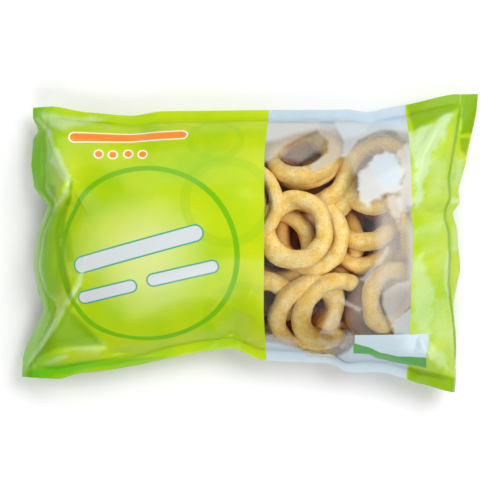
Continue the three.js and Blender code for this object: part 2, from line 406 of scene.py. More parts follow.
# How the film looks from place to place. Each patch is an outline as it is seen from above, in mm at
# the height of the seals, with its strength, how soft its edge is and how ragged.
hazeAndGlareOnWindow = {  # and how cold its white is; glareOnRing and glareOnEdge are painted glare
    "rightHalf": ([(108, 32), (124, 22), (139, 10), (139, -34), (110, -42), (104, -34), (106, -16),
                   (106, 6)], 0.42, 6, 0, 0.1),
    "underLip": ([(10, 101), (134, 100), (134, 91), (110, 93), (95, 90), (78, 86), (70, 94), (57, 94.5),
                  (40, 91), (22, 85), (10, 84)], 0.82, 3, 0, 0.7),
    "overFarRing": ([(10, 100), (58, 100), (58, 94), (44, 88.5), (29, 80), (20, 70), (10, 66)],
                    0.5, 2, 0, 0.1),
    "inFarRing": ([(24, 76), (58, 93), (62, 84), (60, 76), (44, 68), (28, 69)], 0.3, 3, 1, 0.0),
    "glareOnRing": ([(57, 96), (70, 95), (78, 83), (76, 72), (65, 63), (52, 58), (50, 64), (65, 75),
                     (65, 84), (58, 91)], 0.55, 1.6, 0, 0.0),
    "besideRing": ([(70, 101), (134, 101), (130, 94), (108, 94), (90, 85), (80, 71), (76, 72), (78, 83)],
                   0.75, 1.5, 0, 0.6),
    "overRightRing": ([(90, 85), (108, 94), (124, 89), (140, 70), (141, 38), (126, 19), (117, 24), (113, 39),
                       (85, 58), (80, 72)], 0.38, 3, 1, 0.15),
    "frost": ([(89, 57), (98, 63), (104, 72), (113, 76), (121, 74), (127, 59), (126, 48), (120, 42),
               (113, 40), (104, 36), (97, 29), (94, 33), (90, 40)], 0.88, 2.0, 2, 0.35),
    "frostBlue": ([(104, 71), (113, 75), (121, 73), (126, 59), (124, 50), (114, 45), (103, 54), (99, 62)],
                  0.75, 3, 1, 0.75),
    "besideFrost": ([(121, 74), (130, 82), (140, 70), (141, 38), (128, 22), (121, 31), (126, 48), (127, 59)],
                    0.66, 3.0, 2, 0.3),
    "rightEdge": ([(120, 100), (138, 98), (138, -32), (132, -32), (131, 20), (134, 50), (130, 82),
                   (121, 92)], 0.6, 3, 0, 0.4),
    "overLowRing": ([(88, -30), (100, -22), (118, -22), (128, -34), (120, -60), (110, -78), (96, -84),
                     (84, -70), (84, -45)], 0.2, 6, 0, 0.0),
    "glareOnEdge": ([(113, 39), (120, 41), (127, 31), (124, 18), (117, 26)], 0.5, 1.5, 2, 0.1),
    "lowerRight": ([(111, -41), (123, -33), (139, -31), (139, -47), (124, -62), (118, -69), (110, -51)],
                   0.55, 1.2, 0, 0.3),
    "lowerCorner": ([(124, -62), (139, -47), (142, -76), (120, -76), (118, -69)], 0.74, 1.2, 1, 0.7),
    "inHole": ([(72, -52), (76, -68), (69, -76), (58, -75)], 0.36, 0.8, 0, 0.1),
    "strokes": ([(74, -44), (80, -48), (93, -54.5), (91, -57), (78, -51), (72, -47)], 0.35, 1.0, 1, 0.4),
    "streak": ([(92, -30), (101, -20), (108, -12), (114, -3), (115, -6), (109, -17), (96, -34)],
               0.4, 1.0, 1, 0.4),
    "lowRing": ([(58, -80), (65, -83), (79, -77), (85, -74), (90, -81), (81, -90), (71, -95)],
                0.35, 2.5, 0, 0.2),
    "lowLeft": ([(10, -75), (34, -79), (42, -89), (10, -84)], 0.45, 3, 0, 0.5),
    "upperLip": ([(5, 100.5), (90, 100.5), (101, 98), (134, 97), (134, 130), (5, 130)], 0.9, 0.8, 0, 1.0),
    "lowerLip": ([(5, -81), (24, -83), (42, -88), (50, -93.5), (71, -95), (82, -89), (90, -80), (142, -75),
                  (142, -130), (5, -130)], 0.92, 1.8, 0, 0.9),
}
milkAndSheenOnPrint = {  # where folded or frosted film is paler, and painted highlights on crests and crease facets
    "wedge": ([(164, 108), (168, 106), (164, 97), (156, 83), (150, 70), (147, 63), (148, 56), (145, 49),
               (143, 38), (138, 29), (137, 54), (138, 72), (137, 81), (136, 90), (143, 96), (152, 100)],
              0.8, 2.0, 2),
    "wedgeSide": ([(150, 68), (163, 70), (161, 44), (150, 37), (145, 48)], 0.3, 4.0, 3),
    "besideWedge": ([(158, 92), (163, 92), (163, 84), (158, 82)], 0.4, 2.0, 2),
    "windowSide": ([(128, 93), (136, 92), (140, 69), (138, 58), (133, 78)], 0.7, 2.0, 1),
    "lowerBand": ([(142, -12), (147, -25), (154, -41), (150, -61), (147, -75), (137, -74), (135, -40),
                   (136, -16)], 0.5, 3.0, 2),
    "lowerBandSide": ([(153, -45), (163, -48), (168, -80), (152, -78)], 0.3, 4.0, 2),
    "lowerCorner": ([(147, -78), (160, -92), (170, -109), (158, -103), (145, -90)], 0.55, 2.5, 2),
    "finMiddle": ([(170, 72), (179, 70), (178, 55), (173, 48), (168, 48)], 0.4, 2.5, 2),
    "finPale": ([(168, 38), (175, 36), (175, 33), (167, 33)], 0.7, 0.8, 0),
    "finLower": ([(168, 13), (174, 5), (174, -6), (168, -6)], 0.35, 2.0, 1),
    "besideGroove": ([(163, -7), (166, -7), (165, -43), (161, -35)], 0.5, 1.0, 1),
    "upperLeftStrip": ([(-175.5, 108), (-162, 107), (-154, 104.5), (-135, 104), (-118, 103), (-135, 98.5),
                        (-152, 94.5), (-160, 95), (-166, 97)], 0.55, 2.5, 1),
    "upperCrest": ([(-175.5, 105), (-169, 97), (-165, 93.5), (-162, 80), (-158, 77), (-154, 66.5),
                    (-148, 53), (-150, 50), (-154, 51), (-158.5, 58), (-161, 63), (-166, 68), (-163, 72),
                    (-164, 81), (-169, 93), (-177, 103)], 0.65, 1.0, 0),
    "upperCrestEnd": ([(-148, 53), (-150, 46), (-153.5, 36.5), (-160, 29.5), (-163, 29), (-158.5, 34),
                       (-153.5, 44), (-151, 50)], 0.55, 0.8, 0),
    "lowerCrest": ([(-140, -16), (-137, -23), (-140, -36.5), (-144, -41.5), (-152, -52.5), (-155, -62),
                    (-161, -73), (-172, -87), (-184, -103), (-184, -100), (-175, -84.5), (-165, -69),
                    (-159, -60), (-154, -50), (-148.5, -40.5), (-143.5, -35), (-140, -24)], 0.55, 1.0, 0),
    "rim": ([(-167, 29.5), (-175.5, 12.5), (-179, -27), (-169.5, -52.5), (-178, -70), (-189, -94),
             (-189, -111), (-184, -111), (-177, -86.5), (-169.5, -73.5), (-165.5, -62), (-171, -36.5),
             (-173, -24), (-171, 9), (-166, 22), (-162, 28)], 0.3, 1.5, 1),
    "lowerFacets": ([(-148, -82), (-135, -83), (-126, -81), (-120, -86), (-128, -92), (-142, -89)],
                    0.25, 3.0, 2),
    "lowerStrip": ([(-180, -102), (-165, -97), (-150, -92), (-150, -95), (-166, -101)], 0.4, 1.5, 1),
}
shadeAndDoubleFilmOnPrint = {  # painted shade in hollows and behind folds, darker double film, and how far their green is a cool one
    "finTop": ([(177.5, 122.5), (192, 126), (190, 113), (186, 90), (174.5, 90), (176, 110)], 0.9, 1.2, 1),
    "finPoint": ([(174, 87), (183, 87), (179, 73), (175, 77)], 0.75, 1.0, 0),
    "upperWedge": ([(129, 116), (176, 126), (173, 112), (152, 101), (136, 93)], 0.75, 2, 0),
    "lowerStrip": ([(132, -102), (172, -112), (171, -126), (131, -114)], 0.75, 1.0, 0),
    "leftFin": ([(-181, 80), (-179, 88), (-169.5, 93.5), (-169.5, 64.5), (-167, 56), (-160, 40), (-162, 32),
                 (-169, 38), (-178, 45.5), (-181, 69)], 0.35, 1.5, 0, 1),
    "leftFinHollow": ([(-166, 49), (-160, 47), (-160, 40), (-162.5, 33)], 0.5, 1.2, 0),
    "behindFold": ([(-147, 40), (-148.5, 33), (-154, 23), (-158, 11), (-157, -4), (-151, -23), (-148, -36),
                    (-146, -47), (-149.5, -47), (-153.5, -36), (-158.5, -21), (-160, -4), (-161, 11),
                    (-157, 26), (-152, 36)], 0.75, 1.5, 0),
    "olive": ([(-155, 9), (-148.5, 11), (-147, -2), (-145, -16), (-151, -16)], 0.4, 1.5, 0),
    "endColumn": ([(-166, 26), (-157, 28), (-152, 14), (-149, -4), (-152, -28), (-158, -44), (-168, -44),
                   (-172, -20), (-171, 6)], 0.45, 3, 1, 0.3),
    "valley": ([(-152, -52.5), (-143.5, -60), (-132, -72), (-122, -84.5), (-144, -86), (-158.5, -87),
                (-175, -94), (-164.5, -76), (-158, -64)], 0.85, 2.5, 0),
    "lowerEdge": ([(-184, -106), (-163.5, -102), (-140, -98.5), (-100, -95.5), (-70, -94.5), (-136, -104),
                   (-152, -109), (-161, -108), (-163.5, -111), (-184, -112)], 0.75, 1.5, 0, 1),
    "underEdge": ([(-190, -112), (-184, -104), (-150, -98), (-98, -96.5), (-60, -95), (-110, -112),
                   (-150, -124), (-190, -124)], 0.6, 5, 0, 1),
}
grooveShadeLines = [  # painted shade along the darkest grooves: path, half its width, strength
    ([(176.8, 123), (173.5, 105), (171, 90), (168, 72), (165, 54), (166, 37), (162, 27), (162, 20),
      (165, 9), (166, -12), (165, -34), (167, -52), (169.5, -70), (171, -97), (172, -109)], 1.0, 0.85),
    ([(-156.9, -4), (-152, -27), (-148.6, -40)], 1.0, 0.7),
    ([(-147.5, 50), (-149, 36), (-154, 20), (-156, 5)], 1.3, 0.7),
    ([(-140, -38), (-146, -49), (-155, -66), (-168, -84), (-182, -102)], 1.4, 0.6),
]
raggedSize = {"coarse": 5, "fine": 2.2}


def insideShare(x, y, outline, soft, ragged):  # 1 inside an outline and 0 outside it
    inside, points = np.zeros(x.shape, bool), outline + outline[:1]
    for (ax, ay), (bx, by) in zip(points, points[1:]):
        if by != ay:
            inside ^= ((ay > y) != (by > y)) & (x < ax + (y - ay) * (bx - ax) / (by - ay))
    signed = np.where(inside, 1, -1) * nearPath(points, x, y)[0]
    coarse, fine = latticeNoise(x, y, raggedSize["coarse"], 7), latticeNoise(x, y, raggedSize["fine"], 8)
    signed += ragged * (coarse + 0.6 * fine)
    return smoothStep(signed, -soft, soft)


def layPatches(patches, x, y, under):  # one over the other, so that they never add up to more than 1
    clear, cold = 1 - under, 0 * x
    for outline, strength, soft, ragged, *tint in patches.values():
        share = strength * insideShare(x, y, outline, soft, ragged)
        clear = clear * (1 - share)
        cold = mix(cold, sum(tint), share)
    return 1 - clear, cold


cameraHeight = 1500        # above the seals


def asSeen(points):  # places in mm at the height of the seals, seen from the camera's height
    closer = cameraHeight / (cameraHeight - points[..., 2] + bag["sealHeight"])
    return points[..., 0] * closer, points[..., 1] * closer


def filmValues():
    x, y = asSeen(frontGrid)
    hazeAndGlare, cold = layPatches(hazeAndGlareOnWindow, x, y, 0 * x)
    lines = 0 * x
    for path, half, strength in grooveShadeLines:
        offLine = smoothStep(nearPath(path, x, y)[0], 0.3 * half, 1.7 * half)
        lines = np.maximum(lines, strength * (1 - offLine))
    deep, coolShade = layPatches(shadeAndDoubleFilmOnPrint, x, y, lines)
    return {
        "hazeAndGlare": hazeAndGlare,
        "cold": cold,
        "milkAndSheen": layPatches(milkAndSheenOnPrint, x, y, np.clip(creaseFields(x, y)[1], 0, 1))[0],
        "deep": deep,
        "coolShade": coolShade,
    }


filmLooks = filmValues()


def gridFaces(rows, columns, flip=False):
    index = np.arange(rows * columns).reshape(rows, columns)
    quads = np.stack([index[:-1, :-1], index[:-1, 1:], index[1:, 1:], index[1:, :-1]], -1).reshape(-1, 4)
    return (quads[:, ::-1] if flip else quads).tolist()


def filmPiece(name, grid, first, last, material, flip=False):
    part = grid[:, first:last + 1]
    uvs = flatGrid[:, first:last + 1].reshape(-1, 2) / 100  # a unit of the map is 100 mm of film
    values = {key: value[:, first:last + 1] for key, value in filmLooks.items()}
    faces = gridFaces(part.shape[0], part.shape[1], flip)
    return makePiece(name, part.reshape(-1, 3), faces, material, uvs, values)


# Rings behind the window. Each is a band cut from an onion, coated in crumb.

ringSize = {
    "radius": 25.0,        # to the middle of the band
    "thickness": 7.0,      # half the band's thickness, with its coating
    "height": 7.6,         # half the band's height
    "squareness": 0.82,    # 1 gives the band an oval section, less squares its corners off
    "outOfRound": (0.022, 0.012),   # waves of the radius, twice and three times around
    "unevenBand": (0.09, 0.05),     # waves of the thickness, once and three times around
    "unevenHeight": (0.08, 0.05),   # once and twice around
    "flare": 0.08,         # a slice of a round onion is wider at one rim
    "lumps": 0.5,          # uneven coating
    "crumb": 0.08,         # single crumbs
    "clearance": 0.8,      # under the film
    "seenAt": 68,          # height at which the top ones are seen
    "nudges": 20,          # half a millimetre each, away from a lip
    "mesh": (120, 40),     # points around the ring and around its section
}

photoScale = 0.828         # mm for each pixel at the height of the seals
photoCentre = (249.5, 243)

# The rings that can be seen: centre in the photograph, depth below the film, size, thickness,
# narrowness, tilt, and the direction that the ring leans to.
topRings = [
    (303, 151, 0, 1.00, 1.05, 1.00, 52, 100),
    (306, 162, 11, 1.00, 0.88, 1.00, 55, 104),
    (323, 180, 15, 0.92, 1.00, 1.00, 50, 128),
    (326, 193, 22, 0.92, 1.00, 1.00, 44, 128),
    (242, 203, 0, 1.16, 0.82, 1.00, 12, 185),
    (296, 230, 4, 0.99, 1.08, 0.97, 14, 172),
    (311, 235, 17, 1.06, 1.08, 1.00, 19, 170),
    (379, 174, 2, 1.10, 1.00, 0.95, 28, 125),
    (395, 227, 5, 1.00, 0.90, 1.00, 66, 204),
    (369, 222, 20, 0.86, 1.00, 1.00, 42, 100),
    (362, 242, 29, 0.92, 1.00, 1.00, 34, 85),
    (333, 315, 0, 1.12, 1.15, 0.94, 36, -46),
    (307, 316, 0, 1.06, 1.12, 0.94, 36, -50),
    (258, 309, 1, 1.02, 1.08, 1.00, 40, 280),
    (395, 299, 1, 0.92, 1.10, 0.95, 28, 340),
    (277, 246, 25, 1.08, 1.00, 1.00, 10, 200),
    (328, 242, 34, 1.05, 1.00, 1.00, 10, 170),
    (228, 205, 14, 1.00, 1.05, 1.00, 12, 185),
]
wholeRing = (0, 360)
brokenRings = {11: (92, 350)}  # a ring that has broken open, and the part of the circle that it covers


def ringGrid(rng, size, thick, narrow, around, across, arc=wholeRing):
    closed = arc == wholeRing
    theta = np.radians(np.linspace(*arc, around, endpoint=not closed))[:, None]
    phi = np.linspace(0, 2 * math.pi, across, endpoint=False)[None, :]
    phases = iter(rng.uniform(0, 2 * math.pi, 6))
    wave = lambda count: np.sin(count * theta + next(phases))
    uneven = lambda key, first, second: 1 + sum(
        part * wave(count) for part, count in zip(ringSize[key], (first, second)))
    radius = ringSize["radius"] * size * uneven("outOfRound", 2, 3)
    thickness = ringSize["thickness"] * thick * uneven("unevenBand", 1, 3)
    height = ringSize["height"] * uneven("unevenHeight", 1, 2)
    if not closed:  # rounded ends
        fromEnd = np.minimum(theta - theta[0], theta[-1] - theta) * radius / thickness
        rounding = np.sqrt(1 - (1 - np.clip(fromEnd, 0.02, 1)) ** 2)
        thickness, height = thickness * rounding, height * rounding
    out = np.sign(np.cos(phi)) * np.abs(np.cos(phi)) ** ringSize["squareness"]
    up = np.sign(np.sin(phi)) * np.abs(np.sin(phi)) ** ringSize["squareness"]
    lumps = sum(rng.normal() * np.sin(k * theta + m * phi + rng.uniform(0, 2 * math.pi)) / math.sqrt(k)
                for k in range(2, 10) for m in (-1, 0, 1, 2)) / 2.5
    crumbs = rng.normal(0, 1, (around, across))
    crumbs = crumbs + np.roll(crumbs, 1, 0) + np.roll(crumbs, 1, 1)
    swell = 1 + (ringSize["lumps"] * lumps + ringSize["crumb"] * crumbs) / ringSize["height"]
    r = radius + thickness * out * swell + ringSize["flare"] * up * height
    return np.stack([r * np.cos(theta) * narrow, r * np.sin(theta), height * up * swell], -1)


def ringFaces(around, across, start, closed):
    i, j = np.meshgrid(np.arange(around if closed else around - 1), np.arange(across), indexing="ij")
    at = lambda a, b: start + (a % around) * across + b % across
    faces = np.stack([at(i, j), at(i + 1, j), at(i + 1, j + 1), at(i, j + 1)], -1).reshape(-1, 4).tolist()
    if not closed:
        faces += [(start + np.arange(across)[::-1]).tolist(),
                  (start + (around - 1) * across + np.arange(across)).tolist()]
    return faces


def turned(points, tilt, lean):
    turn = Matrix.Rotation(math.radians(lean), 3, "Z") @ Matrix.Rotation(math.radians(tilt), 3, "Y")
    return points @ np.array(turn).T


def roomAbove(points):
    overhead = inTable(frontTable, points[..., 0], points[..., 1])[..., 0]
    return (overhead - points[..., 2]).min() - ringSize["clearance"]


def roomBelow(points):
    underneath = inTable(backTable, points[..., 0], points[..., 1])[..., 0]
    return (points[..., 2] - underneath).min() - ringSize["clearance"]


def settle(points, depth):  # up to its depth under the front film, and clear of the back film
    for _ in range(ringSize["nudges"]):
        if roomAbove(points) + roomBelow(points) < 0:  # too near a lip for its height, so further in
            points = points - [0, 0.5 * np.sign(points[..., 1].mean()), 0]
    points = points + [0, 0, roomAbove(points) - depth]
    return points + [0, 0, max(0.0, -roomBelow(points))]


def makeTopRings():
    rng = np.random.default_rng(11)
    rings = []
    closer = 1 - (ringSize["seenAt"] - bag["sealHeight"]) / cameraHeight  # high up looks further out
    for number, (px, py, depth, size, thick, narrow, tilt, lean) in enumerate(topRings):
        arc = brokenRings.get(number, wholeRing)
        points = ringGrid(rng, size, thick, narrow, *ringSize["mesh"], arc)
        centre = np.array([px - photoCentre[0], photoCentre[1] - py, 0]) * photoScale * closer
        rings.append((settle(turned(points, tilt, lean) + centre, depth), arc == wholeRing))
    return rings


# The rings under them lie in two flat layers, each one over the gaps of the other.
lowerLook = {
    "heights": (9, 23),
    "columns": 4, "rows": 4,
    "apart": (50, 56),     # along and across the bag
    "start": (-8, -84),    # middle of the first one
    "size": (0.82, 1.0),
    "tilt": (0, 12),
    "shift": 3,            # at most, out of the rows
    "centre": 60,          # of the window, along the bag
    "underFilm": 18,       # how far the top of one stays below the front film
    "nudges": 25,          # a millimetre each, after which it is left out
    "mesh": (72, 20),
}


def makeLowerRings():
    rng = np.random.default_rng(5)
    rings = []
    for layer, height in enumerate(lowerLook["heights"]):
        for column in range(lowerLook["columns"]):
            for row in range(lowerLook["rows"]):
                ring = ringGrid(rng, rng.uniform(*lowerLook["size"]), 1.0, 1.0, *lowerLook["mesh"])
                ring = turned(ring, rng.uniform(*lowerLook["tilt"]), rng.uniform(0, 360))
                x = lowerLook["start"][0] + (column + layer / 2) * lowerLook["apart"][0]
                y = lowerLook["start"][1] + (row + column % 2 / 2 + layer / 4) * lowerLook["apart"][1]
                shift = lowerLook["shift"] * rng.uniform(-1, 1, 2)
                ring = ring + [x + shift[0], y + shift[1], height]
                for _ in range(lowerLook["nudges"]):
                    if min(roomBelow(ring), roomAbove(ring) - lowerLook["underFilm"]) >= 0:
                        rings.append((ring, True))
                        break
                    inward = [np.sign(x - lowerLook["centre"]), np.sign(y), 0]
                    ring = ring - inward  # too near a lip or an end, so further in
    return rings


ringShadeRule = {
    "nodes": 24,           # points that stand for each ring
    "closest": 6,          # mm, so that a ring's own next node doesn't count too much
    "beside": 0.4, "above": 0.7,    # weight of rings beside a point, and what more counts above it
    "topRings": -0.1, "lowerRings": 0.95,   # added to the painted shade, as less light reaches the lower ones
}


def ringShadeAt(ring, nodes):  # how much of what each point faces is taken up by rings, for the painted shade
    normal = np.cross(np.gradient(ring, axis=0), np.roll(ring, -1, 1) - np.roll(ring, 1, 1)).reshape(-1, 3)
    outward = (ring - ring.mean(1, keepdims=True)).reshape(-1, 3)
    normal *= np.sign(np.sum(normal * outward, 1, keepdims=True))
    normal /= np.maximum(np.linalg.norm(normal, axis=1, keepdims=True), 1e-9)
    points = ring.reshape(-1, 3)
    facing = normal @ nodes.T - np.sum(normal * points, 1, keepdims=True)
    square = np.sum(points ** 2, 1)[:, None] + np.sum(nodes ** 2, 1) - 2 * points @ nodes.T
    apart = np.sqrt(np.maximum(square, ringShadeRule["closest"] ** 2))
    weight = ringShadeRule["beside"] + ringShadeRule["above"] * (nodes[:, 2] - points[:, 2:]) / apart
    area = 4 * ringSize["thickness"] * ringSize["radius"] * math.pi / ringShadeRule["nodes"]
    return np.sum(area * np.maximum(facing, 0) * weight / (math.pi * apart ** 3), 1)


def joinRings(name, rings, nodes, material):
    points, faces, paintedRingShade, start = [], [], [], 0
    for ring, closed in rings:
        faces += ringFaces(*ring.shape[:2], start, closed)
        points.append(ring.reshape(-1, 3))
        paintedRingShade.append(ringShadeAt(ring, nodes) + ringShadeRule[name])
        start += len(points[-1])
    print(name, len(rings), "rings")
    return makePiece(name, np.concatenate(points), faces, material,
                     values={"paintedRingShade": np.concatenate(paintedRingShade)})


# Frozen breadcrumb coating, fried once. Dry and matt, grainy at a millimetre and pale gold, with
# painted shade that turns it brown, then deep brown, in the hollows between rings and on the lower rings.
crumbLook = {
    # brown is both browned crumbs and painted shade; deep is painted shade only
    "pale": "#F6E5A2", "golden": "#EECA61", "brown": "#CE8C34", "deep": "#74390F",
    "grain": 1.0,          # mm across a crumb
    "patch": 8,            # mm across a paler or browner patch
    "speckle": 0.5,        # how strongly single crumbs are browned
    "brownHollow": (0.3, 1.1), "deepHollow": (0.8, 1.6),  # over which the painted shade in hollows turns brown, then deep brown
    "roughness": 0.85,
    "bump": 0.6,
}


noiseSpan = (0.35, 0.65)   # where most of a noise texture's values lie


def spread(tree, value, low, high, most=1.0, least=0.0, curve="LINEAR"):  # from least to most
    return addNode(tree, "MapRange", {
        "Value": value, "From Min": low, "From Max": high, "To Min": least, "To Max": most},
        interpolation_type=curve).outputs[0]


def layColour(tree, under, over, share):
    return addNode(tree, "Mix", {0: share, 6: under, 7: over}, data_type="RGBA").outputs[2]


def crinkled(tree, share, size, most):  # a share that a fine noise breaks up where it is partial
    place = addNode(tree, "TexCoord").outputs["Object"]
    noise = addNode(tree, "TexNoise", {
        "Vector": place, "Scale": 1 / (size * mm), "Detail": 3.0}).outputs["Fac"]
    rest = addNode(tree, "Math", {0: 1.0, 1: share}, operation="SUBTRACT").outputs[0]
    partial = addNode(tree, "Math", {0: share, 1: rest}, operation="MULTIPLY").outputs[0]
    swing = spread(tree, noise, *noiseSpan, 2 * most, -2 * most)
    return addNode(tree, "Math", {0: partial, 1: swing, 2: share},
                   operation="MULTIPLY_ADD", use_clamp=True).outputs[0]


def makeCrumb():
    material, tree = newMaterial("breadcrumbCoating")
    place = addNode(tree, "TexCoord").outputs["Object"]
    patches = addNode(tree, "TexNoise", {
        "Vector": place, "Scale": 1 / (crumbLook["patch"] * mm), "Detail": 3.0}).outputs["Fac"]
    grain = addNode(tree, "TexNoise", {
        "Vector": place, "Scale": 1 / (crumbLook["grain"] * mm), "Detail": 2.0}).outputs["Fac"]
    paintedRingShade = addNode(tree, "Attribute", attribute_name="paintedRingShade").outputs["Fac"]
    colour = layColour(tree, linear(crumbLook["golden"]), linear(crumbLook["pale"]),
                       spread(tree, patches, *noiseSpan))
    speckle = spread(tree, grain, 0.55, 0.3, crumbLook["speckle"])
    colour = layColour(tree, colour, linear(crumbLook["brown"]), speckle)
    # painted shade, brown then deep brown, where rings hide what a point faces
    for key in ("brown", "deep"):
        share = spread(tree, paintedRingShade, *crumbLook[key + "Hollow"])
        colour = layColour(tree, colour, linear(crumbLook[key]), share)
    relief = addNode(tree, "Bump", {"Height": grain, "Strength": crumbLook["bump"],
                                              "Distance": crumbLook["grain"] * mm})
    shader = addNode(tree, "BsdfPrincipled", {
        "Base Color": colour, "Roughness": crumbLook["roughness"], "IOR": 1.45, "Normal": relief.outputs[0]})
    addNode(tree, "OutputMaterial", {"Surface": shader.outputs[0]})
    return material


# Low-density polyethylene film, printed on its inside. The ink shows through a smooth glossy skin,
# so the colour is even and the creases carry sharp pale lights, partly from the lamps and partly painted
# highlights.
printLook = {
    "leaf": "#9DC40F", "lime": "#C6D216", "deep": "#72B214", "glow": "#D6DC94",
    "end": "#6CBE1E",      # cooler towards the left end
    "endFrom": (152, 178), "endShare": 0.75,  # mm from the middle
    "edgeReach": 50, "edgeShare": 0.35,       # mm beside the window over which it turns to lime
    "driftScale": 2.2, "driftShare": 0.6,     # patches of leaf and lime to 100 mm
    "glowReach": 62, "glowShare": 0.8,        # mm
    "veil": "#C2DAA6",     # where frost makes the film look milky, and painted highlights on crests and creases
    "paintedFoldShade": "#74A016",    # painted shade in the hollows behind folds
    "coolShade": "#58B012",     # painted shade in those of the left end and its lower lip
    "crinkle": (1.5, 0.15),  # mm across the finest wrinkles in milky film, and how strong they are
    "roughness": 0.2,
    "ior": 1.3,            # less than the plastic's own, to match the film's weak shine
}
# Plain shapes in the print, placed as they are seen from above: from, to, height, colour and edge.
greyInk, orangeInk = ("#C8CED0", "#3E9C86"), ("#EE8A2E", "#F1ECDD")
printBars = [
    ((-141, -19), (-38, 9), 12, *greyInk),
    ((-138, -45), (-92, -34), 9, *greyInk),
    ((-82, -31), (-26, -18), 9, *greyInk),
    ((-147, 86), (-52, 89), 8, *orangeInk),
    *(((x, 72), (x + 2, 72), 6, *orangeInk) for x in (-124, -112, -100, -88)),
]
printCircleAndRingShadows = [  # middle, radius, line width, how strongly it shows; the first is the printed circle, the faint ones are painted shadows of rings inside, seen through the ink
    ((-83, -11), 73, 4.4, 1.0),
    ((-28, 86), 21, 6, 0.18),
    ((-18, 34), 34, 8, 0.20),
    ((-6, -62), 30, 7, 0.16),
    ((-60, 78), 26, 6, 0.12),
]
barEdge = 1.3              # width of a bar's rim
edgeBlur = 0.3             # half the width over which the ink fades out


def flatPlace(x, y):  # the flat film's own coordinates of a place that is seen from above
    nearest = np.argmin((frontGrid[..., 0] - x) ** 2 + (frontGrid[..., 1] - y) ** 2)
    return flatGrid.reshape(-1, 2)[nearest] / 100


def barDistance(tree, place, start, end, height):  # how far outside a round-ended bar, in 100 mm
    a, b = flatPlace(*start), flatPlace(*end)
    turn = math.atan2(b[1] - a[1], b[0] - a[0])
    local = addNode(tree, "Mapping", {"Vector": place, "Location": (*(a + b) / 2, 0),
                                                "Rotation": (0, 0, turn)}, vector_type="TEXTURE").outputs[0]
    local = addNode(tree, "VectorMath", {0: local}, operation="ABSOLUTE").outputs[0]
    halfLength = max(0.0, float(np.linalg.norm(b - a)) / 2 - height / 200)
    local = addNode(tree, "VectorMath", {0: local, 1: (halfLength, 0, 0)},
                    operation="SUBTRACT").outputs[0]
    local = addNode(tree, "VectorMath", {0: local, 1: (0, 0, 0)}, operation="MAXIMUM").outputs[0]
    reach = addNode(tree, "VectorMath", {0: local}, operation="LENGTH").outputs["Value"]
    return addNode(tree, "Math", {0: reach, 1: height / 200}, operation="SUBTRACT").outputs[0]


def edgeShare(tree, distance, edge, strength=1.0):  # 1 inside an edge and 0 outside it
    return spread(tree, distance, edge + edgeBlur / 100, edge - edgeBlur / 100, strength)


def ringShare(tree, place, middleAt, radius, line, strength):
    reach = addNode(tree, "VectorMath", {0: place, 1: (*flatPlace(*middleAt), 0)},
                    operation="DISTANCE").outputs["Value"]
    offLine = addNode(tree, "Math", {0: reach, 1: radius / 100}, operation="SUBTRACT").outputs[0]
    offLine = addNode(tree, "Math", {0: offLine}, operation="ABSOLUTE").outputs[0]
    return reach, edgeShare(tree, offLine, line / 200, strength)


def makePrint():
    material, tree = newMaterial("printedPolyethylene")
    place = addNode(tree, "UVMap", uv_map="flatFilm").outputs[0]
    across = addNode(tree, "SeparateXYZ", {0: place}).outputs[0]
    drift = addNode(tree, "TexNoise", {
        "Vector": place, "Scale": printLook["driftScale"], "Detail": 3.0}).outputs["Fac"]
    drift = spread(tree, drift, *noiseSpan, printLook["driftShare"])
    colour = layColour(tree, linear(printLook["leaf"]), linear(printLook["lime"]), drift)
    nearEnd = spread(tree, across, *(-at / 100 for at in printLook["endFrom"]), printLook["endShare"])
    colour = layColour(tree, colour, linear(printLook["end"]), nearEnd)
    windowEdge = float(flatPlace(film["windowLeft"][1][1], 0)[0])
    nearWindow = spread(tree, across, windowEdge - printLook["edgeReach"] / 100, windowEdge,
                        printLook["edgeShare"], curve="SMOOTHSTEP")
    onLeft = addNode(tree, "Math", {0: across, 1: windowEdge + 0.1},
                     operation="LESS_THAN").outputs[0]
    nearWindow = addNode(tree, "Math", {0: nearWindow, 1: onLeft}, operation="MULTIPLY").outputs[0]
    colour = layColour(tree, colour, linear(printLook["lime"]), nearWindow)
    # the printed circle, then the painted shadows of the rings inside
    for number, (middleAt, radius, line, strength) in enumerate(printCircleAndRingShadows):
        reach, onLine = ringShare(tree, place, middleAt, radius, line, strength)
        if number == 0:  # the large ring frames a pale glow
            glow = spread(tree, reach, printLook["glowReach"] / 100, 0, printLook["glowShare"],
                          curve="SMOOTHSTEP")
            colour = layColour(tree, colour, linear(printLook["glow"]), glow)
        colour = layColour(tree, colour, linear(printLook["deep"]), onLine)
    for start, end, height, fill, edge in printBars:
        distance = barDistance(tree, place, start, end, height)
        colour = layColour(tree, colour, linear(edge), edgeShare(tree, distance, barEdge / 100))
        colour = layColour(tree, colour, linear(fill), edgeShare(tree, distance, 0))
    # deep is painted shade of folds and grooves with darker double film; the cool share tints that shade
    deep, coolShade, milkAndSheen = (addNode(tree, "Attribute", attribute_name=name).outputs["Fac"]
                         for name in ("deep", "coolShade", "milkAndSheen"))
    paintedFoldShade = layColour(tree, linear(printLook["paintedFoldShade"]), linear(printLook["coolShade"]), coolShade)
    veil = crinkled(tree, milkAndSheen, *printLook["crinkle"])
    colour = layColour(tree, colour, linear(printLook["veil"]), veil)
    colour = layColour(tree, colour, paintedFoldShade, deep)
    gloss = spread(tree, deep, 0, 1, 0.1, 0.5)  # folds that face each other hardly shine
    shader = addNode(tree, "BsdfPrincipled", {
        "Base Color": colour, "Roughness": printLook["roughness"], "IOR": printLook["ior"],
        "Specular IOR Level": gloss})
    addNode(tree, "OutputMaterial", {"Surface": shader.outputs[0]})
    return material


